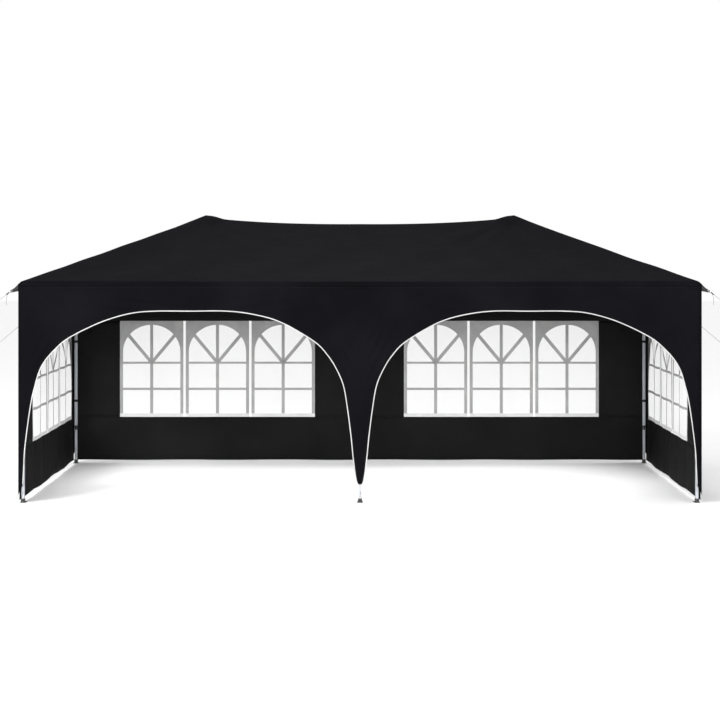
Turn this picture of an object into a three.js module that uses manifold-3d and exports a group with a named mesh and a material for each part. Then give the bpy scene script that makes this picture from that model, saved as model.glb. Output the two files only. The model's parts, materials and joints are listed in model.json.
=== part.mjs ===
// Pop-up gazebo, three metres by six: a scissor frame on six telescopic legs, a roof with
// two peaks and arched skirts, three walls and four guy ropes.
// Millimetres, +Z up. The origin is on the ground, in the middle of the six legs.
import * as THREE from "three";
import { mergeVertices } from "three/addons/utils/BufferGeometryUtils.js";
import Module from "manifold-3d";

const wasm = await Module();
wasm.setup();

// ---- driving dimensions -------------------------------------------------------------
const BAY = 2930; // from leg centre to leg centre, along both sides of a square bay
const EAVE = 1915; // height of the roof's edge
const PEAK = 2526; // height of its two peaks
const GAP = 0.3; // between pieces that touch
const CLOTH = 1.5;

const TUBE = 30; // outer leg, across the flats
const TUBE_WALL = 1.2;
const TUBE_CORNER = 3;
const TUBE_PLAY = 0.6; // between the outer and the inner leg, on each side
const INNER_WALL = 1;
const OUTER_BOTTOM = 340; // height of the outer leg's lower end
const INNER_TOP = 700; // height of the inner leg's upper end
const COLLAR_WALL = 3.5; // height adjuster around the outer leg's lower end
const COLLAR_HEIGHT = 45;

const BLOCK_WALL = 7; // top brackets and sliders, around the outer leg
const HEAD_CLEAR = 15; // from a top bracket up to the eave
const HEAD_HEIGHT = 85;
const SLIDER_HEIGHT = 50;
const SLIDER_PLAY = 0.6;

const PIVOT_DROP = 40; // from a bracket's top down to its fixed pivots
const TRUSS_DEPTH = 175; // from the fixed pivots down to the sliders' pivots
const PIVOT_OUT = 66; // from a leg's centre to its pivots
const BAR_DEEP = 22;
const BAR_THICK = 11;
const BAR_SPACE = 2; // between two bars that cross, filled by their washers
const WASHER_RADIUS = 9;

const HUB_WIDE = 30;
const HUB_THICK = 13.5;
const HUB_OUT = 43; // from the truss to the pivot of the peak bar
const PEAK_OUT = PIVOT_OUT - HUB_OUT; // closes the linkage: both add up to one leg's offset
const POST = 22; // foot of the peak pole, across the flats
const POLE_RADIUS = 9.5;
const CAP_RADIUS = 50;
const CAP_HEIGHT = 34;
const CAP_CLEAR = 20; // from the cap up to the peak of the roof
const CAP_STEPS = 6; // rings of the cap's dome
const CAP_SIDES = 24;
const POLE_SIDES = 20;

const FOOT_WIDE = 48;
const FOOT_LONG = 80;
const FOOT_THICK = 4;
const SOCKET_WALL = 4;
const SOCKET_HEIGHT = 30;
const PEG_HOLE_RADIUS = 5;

const RIDGE_SAG = 80; // of the ridge, midway between the peaks
const HIP_SAG = 0.06; // share by which a slope hangs below a straight line
const SLOPE_STEPS = 4; // cells of the roof from ridge to eave, and from peak to end
const RIDGE_STEPS = 6; // cells from the middle of the ridge to a peak
const SEAM = 0.5; // by which a skirt's edge lies inside the sheet that it is sewn to
const ARCH_DROP = 250; // from the eave down to the top of an arch
const ARCH_STEPS = 22; // points along each half of an arch

const WALL_CLEAR = 4; // from the brackets out to a wall
const SKIRT_CLEAR = 8.5; // from a wall's outer face out to a skirt's
const WALL_PAST = 20; // past the centre of the end legs
const WALL_BOTTOM = 30;
const WALL_DROP = 15; // from the brackets' lower ends down to a wall's top

const ROPE_RADIUS = 2;
const ROPE_SIDES = 8;
const ROPE_STEP = 60; // the ropes are taut, so their steps can be long
const ROUND = 8; // sides of a washer or a peg hole
const BAR_END = 6; // sides of a bar's half-round end
const TAB_WIDE = 25;
const TAB_THICK = 2;

// ---- worked out ---------------------------------------------------------------------
const COLLAR = TUBE + 2 * COLLAR_WALL;
const BLOCK = TUBE + 2 * BLOCK_WALL;
const HEAD_TOP = EAVE - HEAD_CLEAR;
const HEAD_BOTTOM = HEAD_TOP - HEAD_HEIGHT;
const PIVOT_HIGH = HEAD_TOP - PIVOT_DROP;
const ARCH_TOP = EAVE - ARCH_DROP;
const WALL_TOP = HEAD_BOTTOM - WALL_DROP;
const WALL_OUT = BLOCK / 2 + WALL_CLEAR + CLOTH; // from a leg's centre to a wall's outer face
const SKIRT_OUT = WALL_OUT + SKIRT_CLEAR; // and to a skirt's
const EAR_START = TUBE / 2 + SLIDER_PLAY + GAP + BAR_DEEP / 2; // clear of the leg's tube
const PIVOT_LOW = PIVOT_HIGH - TRUSS_DEPTH;
const UP = new THREE.Vector3(0, 0, 1);

// The edge of a skirt beside a leg: distance from the leg's centre, and distance below the
// top of the arch.
const EDGE_MIDDLE = [
  [0, 1515], [30, 1475], [57, 1290], [80, 1065], [110, 835], [144, 645], [203, 505],
  [279, 385], [396, 265], [668, 105], [900, 33], [1150, 0], [BAY / 2, 0],
].map(([out, down]) => [out, ARCH_TOP - down]);
const EDGE_CORNER = [
  [4, 1505], [12, 1335], [22, 1175], [66, 845], [106, 655], [173, 465], [319, 295],
  [469, 195], [709, 85], [942, 19], [1150, 0], [BAY / 2, 0],
].map(([out, down]) => [out, ARCH_TOP - down]);

// Guy ropes of the left-hand corners. Those on the right are their mirror images.
const ROPE_FRONT = [
  [-3033, -1521.5, 1834], [-3070, -1540, 1803], [-3110, -1560, 1770], [-3150, -1580, 1739],
  [-3186, -1598, 1712],
];
const ROPE_BACK = [
  [-3033, 1521.5, 1834], [-3230, 1620, 1674], [-3430, 1720, 1514], [-3630, 1820, 1357],
  [-3855, 1932.5, 1182],
];
const TAB_FROM = [-4, -4, -43]; // outwards and upwards from the corner of the eave
const TAB_TO = [64, 19, -79];

// ---- materials ----------------------------------------------------------------------
const painted = (color, roughness, metalness) =>
  new THREE.MeshStandardMaterial({ color, roughness, metalness });
const steel = () => painted(0xc9ccd0, 0.35, 0.8);
const plastic = () => painted(0x1c1c1f, 0.55, 0);
const cloth = () => painted(0x15151a, 0.85, 0);
const cord = () => painted(0xd9d9d6, 0.8, 0);

// ---- solids -------------------------------------------------------------------------
function solid(geometry) {
  const bare = geometry.clone();
  bare.deleteAttribute("normal");
  bare.deleteAttribute("uv");
  const merged = mergeVertices(bare, 1e-3);
  return new wasm.Manifold(
    new wasm.Mesh({
      numProp: 3,
      vertProperties: new Float32Array(merged.attributes.position.array),
      triVerts: new Uint32Array(merged.index.array),
    }),
  );
}

function geometryOf(made) {
  const mesh = made.getMesh();
  const geometry = new THREE.BufferGeometry();
  geometry.setAttribute("position", new THREE.BufferAttribute(mesh.vertProperties, 3));
  geometry.setIndex(new THREE.BufferAttribute(mesh.triVerts, 1));
  geometry.computeVertexNormals();
  return geometry;
}

const join = (...geometries) => geometryOf(geometries.map(solid).reduce((a, b) => a.add(b)));
const cut = (geometry, tool) => geometryOf(solid(geometry).subtract(solid(tool)));

function square(across, corner = TUBE_CORNER) {
  const half = across / 2;
  const shape = new THREE.Shape();
  shape.absarc(half - corner, half - corner, corner, 0, Math.PI / 2);
  shape.absarc(corner - half, half - corner, corner, Math.PI / 2, Math.PI);
  shape.absarc(corner - half, corner - half, corner, Math.PI, 1.5 * Math.PI);
  shape.absarc(half - corner, corner - half, corner, 1.5 * Math.PI, 2 * Math.PI);
  return shape;
}

// An upright prism from one height to another, with an optional hole along it.
function prism(shape, low, high, hole) {
  if (hole) shape.holes.push(hole);
  const options = { depth: high - low, bevelEnabled: false, curveSegments: 2 };
  return new THREE.ExtrudeGeometry(shape, options).translate(0, 0, low);
}

function box(low, high) {
  const size = high.map((h, i) => h - low[i]);
  const middle = high.map((h, i) => (h + low[i]) / 2);
  return new THREE.BoxGeometry(...size).translate(...middle);
}

// A truss's own frame: X along the ground in the direction given, Y up, Z across the bars.
function frameAlong(direction) {
  const across = new THREE.Vector3().crossVectors(direction, UP);
  return new THREE.Matrix4().makeBasis(direction, UP, across);
}

// A flat bar with round ends, in the truss's frame. side is +1 or -1: the two layers of bars.
function flatBar([x0, y0], [x1, y1], side) {
  const turn = Math.atan2(y1 - y0, x1 - x0);
  const radius = BAR_DEEP / 2;
  const shape = new THREE.Shape();
  shape.absarc(x1, y1, radius, turn - Math.PI / 2, turn + Math.PI / 2);
  shape.absarc(x0, y0, radius, turn + Math.PI / 2, turn + 1.5 * Math.PI);
  const low = side > 0 ? BAR_SPACE / 2 : -BAR_SPACE / 2 - BAR_THICK;
  const options = { depth: BAR_THICK, bevelEnabled: false, curveSegments: BAR_END };
  return new THREE.ExtrudeGeometry(shape, options).translate(0, 0, low);
}

// A washer on the inner face of a bar. Two that face each other almost touch.
function washer([x, y], side) {
  const [low, high] = [GAP / 2, BAR_SPACE / 2 + 1];
  return new THREE.CylinderGeometry(WASHER_RADIUS, WASHER_RADIUS, high - low, ROUND)
    .rotateX(Math.PI / 2)
    .translate(x, y, (side * (low + high)) / 2);
}

// A bar with a washer at each of its pivots.
function trussBar(from, to, side, pivots) {
  return join(flatBar(from, to, side), ...pivots.map((pivot) => washer(pivot, side)));
}

// A bracket's ear, out to its pivot, turned to the direction of its truss.
function ear(direction, start, out, height, side) {
  const pivot = [out, height];
  return trussBar([start, height], pivot, side, [pivot]).applyMatrix4(frameAlong(direction));
}

// ---- scene --------------------------------------------------------------------------
const gazebo = new THREE.Group();

function place(name, geometry, material, parent = gazebo, position = [0, 0, 0]) {
  const mesh = new THREE.Mesh(geometry, material);
  mesh.name = name;
  mesh.position.set(...position);
  parent.add(mesh);
}

const LEFT = new THREE.Vector3(-1, 0, 0);
const RIGHT = new THREE.Vector3(1, 0, 0);
const FRONT = new THREE.Vector3(0, -1, 0);
const BACK = new THREE.Vector3(0, 1, 0);

// Each leg: its place, and the directions of the trusses that it carries.
const LEGS = {
  front_left: { at: [-BAY, -BAY / 2], trusses: [RIGHT, BACK] },
  front_mid: { at: [0, -BAY / 2], trusses: [LEFT, RIGHT] },
  front_right: { at: [BAY, -BAY / 2], trusses: [LEFT, BACK] },
  back_left: { at: [-BAY, BAY / 2], trusses: [RIGHT, FRONT] },
  back_mid: { at: [0, BAY / 2], trusses: [LEFT, RIGHT] },
  back_right: { at: [BAY, BAY / 2], trusses: [LEFT, FRONT] },
};

// The outer tube, open below, with its top bracket and the collar of the height adjuster.
function outerLeg(trusses) {
  const bore = () => square(TUBE - 2 * TUBE_WALL, TUBE_CORNER - TUBE_WALL);
  return join(
    prism(square(TUBE), OUTER_BOTTOM, HEAD_BOTTOM + 1, bore()),
    prism(square(COLLAR), OUTER_BOTTOM, OUTER_BOTTOM + COLLAR_HEIGHT, bore()),
    prism(square(BLOCK), HEAD_BOTTOM, HEAD_TOP),
    ...trusses.map((t) => ear(t, EAR_START, PIVOT_OUT, PIVOT_HIGH, -1)),
  );
}

// The inner tube in its foot, whose plate reaches inwards to a hole for a ground peg.
function innerLeg(inward) {
  const across = TUBE - 2 * (TUBE_WALL + TUBE_PLAY);
  const bore = square(across - 2 * INNER_WALL, 1);
  const socket = square(across + 2 * SOCKET_WALL);
  const side = FOOT_WIDE / 2;
  const edges = [-side * inward, (FOOT_LONG - side) * inward];
  const plate = box([-side, Math.min(...edges), 0], [side, Math.max(...edges), FOOT_THICK]);
  const hole = new THREE.CylinderGeometry(PEG_HOLE_RADIUS, PEG_HOLE_RADIUS, 4 * FOOT_THICK, ROUND)
    .rotateX(Math.PI / 2)
    .translate(0, (FOOT_LONG - side - 3 * PEG_HOLE_RADIUS) * inward, 0);
  return join(
    prism(square(across), FOOT_THICK - 1, INNER_TOP, bore),
    prism(socket, FOOT_THICK - 1, FOOT_THICK + SOCKET_HEIGHT),
    cut(plate, hole),
  );
}

// The slider that rides on the outer leg and carries the lower pivots.
function slider(trusses) {
  const half = SLIDER_HEIGHT / 2;
  const bore = square(TUBE + 2 * SLIDER_PLAY);
  return join(
    prism(square(BLOCK), PIVOT_LOW - half, PIVOT_LOW + half, bore),
    ...trusses.map((t) => ear(t, EAR_START, PIVOT_OUT, PIVOT_LOW, 1)),
  );
}

for (const [name, { at, trusses }] of Object.entries(LEGS)) {
  const foot = [...at, 0];
  place(`outer_leg_${name}`, outerLeg(trusses), steel(), gazebo, foot);
  place(`inner_leg_${name}`, innerLeg(-Math.sign(at[1])), steel(), gazebo, foot);
  place(`slider_${name}`, slider(trusses), plastic(), gazebo, foot);
}

// The four bars of a bay's truss, two crossed pairs, from one leg towards the next.
// a and b leave the first leg, c and d reach the second.
function truss(name, leg, direction) {
  const group = new THREE.Group();
  group.setRotationFromMatrix(frameAlong(direction));
  group.position.set(...LEGS[leg].at, 0);
  gazebo.add(group);
  const [near, middle, far] = [PIVOT_OUT, BAY / 2, BAY - PIVOT_OUT];
  const bars = {
    a: [[near, PIVOT_HIGH], [middle, PIVOT_LOW], 1],
    b: [[near, PIVOT_LOW], [middle, PIVOT_HIGH], -1],
    c: [[middle, PIVOT_HIGH], [far, PIVOT_LOW], 1],
    d: [[middle, PIVOT_LOW], [far, PIVOT_HIGH], -1],
  };
  for (const [letter, [from, to, side]] of Object.entries(bars)) {
    const centre = [(from[0] + to[0]) / 2, (from[1] + to[1]) / 2];
    const bar = trussBar(from, to, side, [from, centre, to]);
    place(`truss_${name}_${letter}`, bar, steel(), group);
  }
}

truss("front_left", "front_mid", LEFT);
truss("front_right", "front_mid", RIGHT);
truss("left", "front_left", BACK);
truss("right", "front_right", BACK);
truss("back_left", "back_left", RIGHT);
truss("back_right", "back_right", LEFT);

// ---- peak poles, each on two bars between the long trusses ----------------------------
// A hub on the inside of a long truss: a block behind the bars, with an ear for the peak bar.
function hub(inward) {
  const behind = BAR_SPACE / 2 + BAR_THICK;
  const start = behind + 4 * GAP;
  const half = HUB_WIDE / 2;
  const block = new THREE.BoxGeometry(HUB_THICK, HUB_WIDE, HUB_WIDE)
    .translate(start + HUB_THICK / 2, PIVOT_HIGH, 0);
  const pad = new THREE.CylinderGeometry(WASHER_RADIUS, WASHER_RADIUS, half, ROUND)
    .rotateZ(Math.PI / 2)
    .translate(behind + GAP + half / 2, PIVOT_HIGH, 0);
  const body = join(block, pad).applyMatrix4(frameAlong(inward));
  return join(body, ear(inward, start + BAR_DEEP / 2, HUB_OUT, PIVOT_HIGH, -1));
}

// The peak pole: a post with two ears, the round pole and a domed cap under the roof.
function peakPole() {
  const top = PEAK - CAP_CLEAR;
  const postTop = PIVOT_LOW + 2 * POST;
  const profile = [[0, top - CAP_HEIGHT], [CAP_RADIUS * 0.6, top - CAP_HEIGHT]];
  for (let i = 0; i <= CAP_STEPS; i += 1) {
    const turn = (i / CAP_STEPS) * (Math.PI / 2);
    const height = top - (CAP_HEIGHT / 2) * (1 - Math.sin(turn));
    profile.push([CAP_RADIUS * Math.cos(turn), height]);
  }
  const points = profile.map(([r, z]) => new THREE.Vector2(Math.max(r, 0), z));
  const cap = new THREE.LatheGeometry(points, CAP_SIDES).rotateX(Math.PI / 2);
  const length = top - CAP_HEIGHT - postTop + 10;
  const pole = new THREE.CylinderGeometry(POLE_RADIUS, POLE_RADIUS, length, POLE_SIDES)
    .rotateX(Math.PI / 2)
    .translate(0, 0, postTop - 5 + length / 2);
  return join(
    prism(square(POST), PIVOT_LOW - POST / 2, postTop),
    pole,
    cap,
    ...[FRONT, BACK].map((side) => ear(side, POST / 4, PEAK_OUT, PIVOT_LOW, 1)),
  );
}

for (const [side, sign] of [["left", -1], ["right", 1]]) {
  const x = (sign * BAY) / 2;
  place(`peak_pole_${side}`, peakPole(), steel(), gazebo, [x, 0, 0]);
  for (const [end, inward] of [["front", BACK], ["back", FRONT]]) {
    const y = (-inward.y * BAY) / 2;
    place(`truss_hub_${end}_${side}`, hub(inward), plastic(), gazebo, [x, y, 0]);
    const group = new THREE.Group();
    group.setRotationFromMatrix(frameAlong(inward));
    group.position.set(x, y, 0);
    gazebo.add(group);
    const from = [HUB_OUT, PIVOT_HIGH];
    const to = [BAY / 2 - PEAK_OUT, PIVOT_LOW];
    place(`peak_bar_${side}_${end}`, trussBar(from, to, 1, [from, to]), steel(), group);
  }
}

// ---- canopy -------------------------------------------------------------------------
const COVER_X = BAY + SKIRT_OUT; // half the roof's length
const COVER_Y = BAY / 2 + SKIRT_OUT; // half its width
const PEAK_X = BAY / 2;

// The roof's height. down is 0 on the ridge and 1 at the eave: the slopes meet at the hips.
function roofHeight(x, y) {
  const past = Math.max(0, Math.abs(x) - PEAK_X) / (COVER_X - PEAK_X);
  const down = Math.max(past, Math.abs(y) / COVER_Y);
  const along = Math.min(1, Math.abs(x) / PEAK_X);
  const ridge = PEAK - RIDGE_SAG * (1 - along * along);
  return EAVE + (ridge - EAVE) * (1 - down) * (1 - HIP_SAG * down);
}

// The roof as one sheet over a grid whose lines cross on the hips.
function roofSheet() {
  const steps = SLOPE_STEPS;
  const ridgeSteps = RIDGE_STEPS;
  const xs = [];
  for (let i = -steps - ridgeSteps; i <= steps + ridgeSteps; i += 1) {
    const along = (Math.min(Math.abs(i), ridgeSteps) / ridgeSteps) * PEAK_X;
    const past = (Math.max(0, Math.abs(i) - ridgeSteps) / steps) * (COVER_X - PEAK_X);
    xs.push(Math.sign(i) * (along + past));
  }
  const ys = Array.from({ length: 2 * steps + 1 }, (_, j) => (j / steps - 1) * COVER_Y);
  const points = [];
  for (const drop of [0, CLOTH])
    for (const x of xs) for (const y of ys) points.push(x, y, roofHeight(x, y) - drop);
  const rows = ys.length;
  const layer = xs.length * rows;
  const faces = [];
  const triangle = (p, q, r) => faces.push(p, q, r);
  for (let i = 0; i + 1 < xs.length; i += 1) {
    for (let j = 0; j + 1 < rows; j += 1) {
      const p = i * rows + j;
      const q = p + rows;
      const [r, s] = [q + 1, p + 1];
      const rising = (xs[i] + xs[i + 1]) * (ys[j] + ys[j + 1]) > 0;
      const pair = rising ? [[p, q, r], [p, r, s]] : [[p, q, s], [q, r, s]];
      for (const [a, b, c] of pair) {
        triangle(a, b, c);
        triangle(layer + a, layer + c, layer + b);
      }
    }
  }
  const rim = [];
  for (let i = 0; i < xs.length; i += 1) rim.push(i * rows);
  for (let j = 1; j < rows; j += 1) rim.push((xs.length - 1) * rows + j);
  for (let i = xs.length - 2; i >= 0; i -= 1) rim.push(i * rows + rows - 1);
  for (let j = rows - 2; j > 0; j -= 1) rim.push(j);
  rim.forEach((a, k) => {
    const b = rim[(k + 1) % rim.length];
    triangle(a, layer + a, layer + b);
    triangle(a, layer + b, b);
  });
  const sheet = new THREE.BufferGeometry();
  sheet.setAttribute("position", new THREE.Float32BufferAttribute(points, 3));
  sheet.setIndex(faces);
  return sheet;
}

// A skirt's outline over the legs at the places given, with an arch in each bay.
function skirtOutline(legs, half) {
  const lower = [[-half, EDGE_CORNER[0][1]]];
  legs.slice(1).forEach((right, k) => {
    const left = legs[k];
    const leftEdge = k === 0 ? EDGE_CORNER : EDGE_MIDDLE;
    const rightEdge = k === legs.length - 2 ? EDGE_CORNER : EDGE_MIDDLE;
    const smooth = (edge) =>
      new THREE.SplineCurve(edge.map((p) => new THREE.Vector2(...p))).getPoints(ARCH_STEPS);
    smooth(leftEdge).forEach((p) => lower.push([left + p.x, p.y]));
    smooth(rightEdge).reverse().forEach((p) => lower.push([right - p.x, p.y]));
  });
  lower.push([half, EDGE_CORNER[0][1]]);
  const top = EAVE - SEAM;
  const points = [...lower, [half, top], [-half, top]].map((p) => new THREE.Vector2(...p));
  const distinct = points.filter((p, i) => i === 0 || p.distanceTo(points[i - 1]) > 0.01);
  return new THREE.Shape(distinct);
}

// A skirt stands outside the legs on the side that direction points to.
function skirt(legs, half, out, direction) {
  const options = { depth: CLOTH, bevelEnabled: false };
  const along = new THREE.Vector3().crossVectors(UP, direction);
  return new THREE.ExtrudeGeometry(skirtOutline(legs, half), options)
    .translate(0, 0, out - CLOTH)
    .applyMatrix4(new THREE.Matrix4().makeBasis(along, UP, direction));
}

// The webbing tab at a corner, which holds the guy rope.
function tab(signX, signY) {
  const mirror = ([x, y, z]) =>
    new THREE.Vector3(signX * (COVER_X + x), signY * (COVER_Y + y), EAVE + z);
  const [from, to] = [mirror(TAB_FROM), mirror(TAB_TO)];
  const along = to.clone().sub(from).normalize();
  const flat = new THREE.Vector3().crossVectors(UP, along).normalize();
  const wide = new THREE.Vector3().crossVectors(along, flat);
  return new THREE.BoxGeometry(from.distanceTo(to), TAB_THICK, TAB_WIDE)
    .applyMatrix4(new THREE.Matrix4().makeBasis(along, flat, wide))
    .translate(...from.add(to).multiplyScalar(0.5));
}

const LONG_LEGS = [-BAY, 0, BAY];
const SHORT_LEGS = [-BAY / 2, BAY / 2];
const CORNERS = {
  front_left: [-1, -1],
  front_right: [1, -1],
  back_left: [-1, 1],
  back_right: [1, 1],
};

const canopy = join(
  roofSheet(),
  skirt(LONG_LEGS, COVER_X - SEAM, COVER_Y - SEAM, FRONT),
  skirt(LONG_LEGS, COVER_X - SEAM, COVER_Y - SEAM, BACK),
  skirt(SHORT_LEGS, COVER_Y - 2 * SEAM, COVER_X - 2 * SEAM, LEFT),
  skirt(SHORT_LEGS, COVER_Y - 2 * SEAM, COVER_X - 2 * SEAM, RIGHT),
  ...Object.values(CORNERS).map(([sx, sy]) => tab(sx, sy)),
);
place("canopy", canopy, cloth());

// ---- walls --------------------------------------------------------------------------
// A wall hangs outside the legs, inside the skirt.
function wall(legs, out, direction) {
  const half = legs.at(-1) + WALL_PAST;
  const along = new THREE.Vector3().crossVectors(UP, direction);
  return box([-half, WALL_BOTTOM, out - CLOTH], [half, WALL_TOP, out])
    .applyMatrix4(new THREE.Matrix4().makeBasis(along, UP, direction));
}

place("wall_back", wall(LONG_LEGS, BAY / 2 + WALL_OUT, BACK), cloth());
place("wall_left", wall(SHORT_LEGS, BAY + WALL_OUT, LEFT), cloth());
place("wall_right", wall(SHORT_LEGS, BAY + WALL_OUT, RIGHT), cloth());

// ---- guy ropes ----------------------------------------------------------------------
function rope(points, signX) {
  const route = points.map(([x, y, z]) => new THREE.Vector3(-signX * x, y, z));
  const curve = new THREE.CatmullRomCurve3(route);
  const section = new THREE.Shape();
  for (let i = 0; i < ROPE_SIDES; i += 1) {
    const turn = (2 * Math.PI * i) / ROPE_SIDES;
    const corner = [ROPE_RADIUS * Math.cos(turn), ROPE_RADIUS * Math.sin(turn)];
    if (i) section.lineTo(...corner);
    else section.moveTo(...corner);
  }
  const steps = Math.ceil(curve.getLength() / ROPE_STEP);
  return new THREE.ExtrudeGeometry(section, { steps, extrudePath: curve });
}

for (const [corner, [signX, signY]] of Object.entries(CORNERS))
  place(`guy_rope_${corner}`, rope(signY < 0 ? ROPE_FRONT : ROPE_BACK, signX), cord());

export default gazebo;
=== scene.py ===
import json

import bmesh
import bpy
import numpy as np
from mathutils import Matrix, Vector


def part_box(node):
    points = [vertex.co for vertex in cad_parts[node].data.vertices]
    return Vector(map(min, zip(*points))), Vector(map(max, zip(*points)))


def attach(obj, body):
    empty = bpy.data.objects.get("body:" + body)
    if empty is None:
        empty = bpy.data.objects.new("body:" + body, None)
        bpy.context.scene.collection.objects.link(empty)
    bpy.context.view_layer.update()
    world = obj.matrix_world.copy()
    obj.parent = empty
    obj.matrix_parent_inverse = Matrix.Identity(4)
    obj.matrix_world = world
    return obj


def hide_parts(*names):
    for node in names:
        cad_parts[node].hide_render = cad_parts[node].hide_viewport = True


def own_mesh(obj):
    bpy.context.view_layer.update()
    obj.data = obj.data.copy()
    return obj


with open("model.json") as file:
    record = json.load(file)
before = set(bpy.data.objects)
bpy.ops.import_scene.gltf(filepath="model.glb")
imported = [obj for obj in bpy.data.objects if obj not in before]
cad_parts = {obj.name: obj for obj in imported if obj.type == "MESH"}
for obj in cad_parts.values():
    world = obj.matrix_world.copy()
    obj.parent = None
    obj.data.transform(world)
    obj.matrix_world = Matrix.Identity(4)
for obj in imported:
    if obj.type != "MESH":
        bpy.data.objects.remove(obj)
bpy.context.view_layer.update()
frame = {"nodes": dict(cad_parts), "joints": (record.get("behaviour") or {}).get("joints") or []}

# ---- camera ---------------------------------------------------------------------------
camera_data = bpy.data.cameras.new("camera")
camera_data.sensor_width = 36
camera_data.lens = 90.25
camera_data.shift_y = -0.1535
camera_data.clip_end = 200
camera = bpy.data.objects.new("camera", camera_data)
camera.location = (0, -17.165, 2.2)
camera.rotation_euler = (np.pi / 2, 0, 0)
bpy.context.scene.collection.objects.link(camera)
bpy.context.scene.camera = camera

# ---- sizes ----------------------------------------------------------------------------
BAY = 2.93  # from leg centre to leg centre, along both sides of a square bay
HALF = BAY / 2
COVER_X = 2.966  # half the roof's length
COVER_Y = 1.501  # half its width
EAVE = 1.915
PEAK = 2.526
RIDGE_SAG = 0.08  # of the ridge, midway between the peaks
HIP_SAG = 0.06  # share by which a slope hangs below a straight line
EAVE_ROUND = 0.03  # radius of the turn from the roof into the skirts
CAP_SINK = 0.022  # by which the ridge drops away from the cap under each peak
CAP_REACH = 0.2  # distance over which it does
ARCH_TOP = 1.665
CLOTH = 0.0015
PIPING = 0.0046  # radius of the bound edges
SKIRT_TOP = EAVE - EAVE_ROUND

WALL_PLANE_BACK = 1.4917  # middle of the wall's thickness
WALL_PLANE_END = 2.9567
WALL_BOTTOM = 0.03
WALL_TOP = 1.80
WALL_END_BACK = 2.95
WALL_END_SIDE = 1.485
WINDOW_LOW = 0.471
WINDOW_HIGH = 1.462
STRIP = 0.024  # clear strip between two lights
SPOKE = np.radians(50)  # slope of the bars in a light's arch

ROPE = 0.004  # diameter
ROPE_SPAN = 6  # steps between two points of a rope
RUNNER_AT = 3  # the step that holds the runner and the tail
TAIL_DROP = 0.100
KNOT = 0.0022
TUBE = 0.03
STRAP_HEIGHTS = (1.25, 0.64)  # of the straps that tie the walls to the legs
STRAP_WIDE = 0.025
HEAD_BOTTOM = 1.8149  # underside of the plastic brackets at the legs' tops
SCREW_HEIGHTS = (1.832, 1.884)
BRACKET_OUT = 0.022  # from a leg's centre to the faces of its bracket and slider

PIVOT_HIGH = 1.860
PIVOT_LOW = 1.685
PIVOT_OUT = 0.066  # from a leg's centre to its pivots
FOLD_DEGREES = next(j for j in frame["joints"] if j["name"] == "frame_fold")["range_deg"][1]

# Share that is left of each length when the frame is folded.
BAR_RUN = HALF - PIVOT_OUT
BAR_DROP = PIVOT_HIGH - PIVOT_LOW
FOLDED_TURN = np.arctan2(BAR_DROP, BAR_RUN) + np.radians(FOLD_DEGREES)
FOLDED_BAY = 2 * float(np.hypot(BAR_RUN, BAR_DROP) * np.cos(FOLDED_TURN)) + 2 * PIVOT_OUT
KEEP_LONG = (FOLDED_BAY + COVER_X - BAY) / COVER_X
KEEP_SHORT = (FOLDED_BAY + 2 * (COVER_Y - HALF)) / (2 * COVER_Y)
KEEP_WALL_LONG = (FOLDED_BAY + WALL_END_BACK - BAY) / WALL_END_BACK
KEEP_WALL_SHORT = (FOLDED_BAY + 2 * (WALL_END_SIDE - HALF)) / (2 * WALL_END_SIDE)

# The edge of a skirt beside a leg: distance from the leg's centre and height.
EDGE_MIDDLE = np.array([
    (0, .150), (.030, .190), (.057, .375), (.080, .600), (.110, .830), (.144, 1.020), (.203, 1.160),
    (.279, 1.280), (.396, 1.400), (.668, 1.560), (.900, 1.632), (1.150, ARCH_TOP), (HALF, ARCH_TOP),
])
EDGE_CORNER = np.array([
    (.004, .160), (.012, .330), (.022, .490), (.066, .820), (.106, 1.010), (.173, 1.200),
    (.319, 1.370), (.469, 1.470), (.709, 1.580), (.942, 1.646), (1.150, ARCH_TOP), (HALF, ARCH_TOP),
])

CORNER_POINT = 0.07  # height of the tip of cloth at a corner

# Guy ropes of the left-hand corners. Those on the right are their mirror images.
ROPE_FRONT = np.array([
    (-3.033, -1.5215, 1.834), (-3.070, -1.540, 1.803), (-3.110, -1.560, 1.770),
    (-3.150, -1.580, 1.739), (-3.186, -1.598, 1.712),
])
ROPE_BACK = np.array([
    (-3.033, 1.5215, 1.834), (-3.230, 1.620, 1.674), (-3.430, 1.720, 1.514), (-3.630, 1.820, 1.357),
    (-3.855, 1.9325, 1.182),
])
TAB_FROM = np.array((-2.962, -1.497, 1.872))
TAB_TO = np.array((-3.030, -1.520, 1.836))


# ---- finishes -------------------------------------------------------------------------
def maths(operation, swapped=False):
    """A method that adds one Math node, with its inputs the other way round if swapped."""
    def method(self, *others):
        values = (*others, self) if swapped else (self, *others)
        return self.finish.node("ShaderNodeMath", {"operation": operation}, dict(enumerate(values)))

    return method


class Value:
    """A node's output that takes part in sums."""

    __add__, __radd__ = maths("ADD"), maths("ADD", swapped=True)
    __sub__, __rsub__ = maths("SUBTRACT"), maths("SUBTRACT", swapped=True)
    __mul__, __rmul__ = maths("MULTIPLY"), maths("MULTIPLY", swapped=True)
    __gt__, __lt__ = maths("GREATER_THAN"), maths("LESS_THAN")
    __abs__, sine = maths("ABSOLUTE"), maths("SINE")
    larger, smaller = maths("MAXIMUM"), maths("MINIMUM")

    def __init__(self, finish, socket):
        self.finish = finish
        self.socket = socket

    def rise(self, low, high):
        """0 below low, 1 above high, and a smooth step between them."""
        settings = {"interpolation_type": "SMOOTHSTEP", "clamp": True}
        inputs = {"Value": self, "From Min": low, "From Max": high}
        return self.finish.node("ShaderNodeMapRange", settings, inputs)


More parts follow.
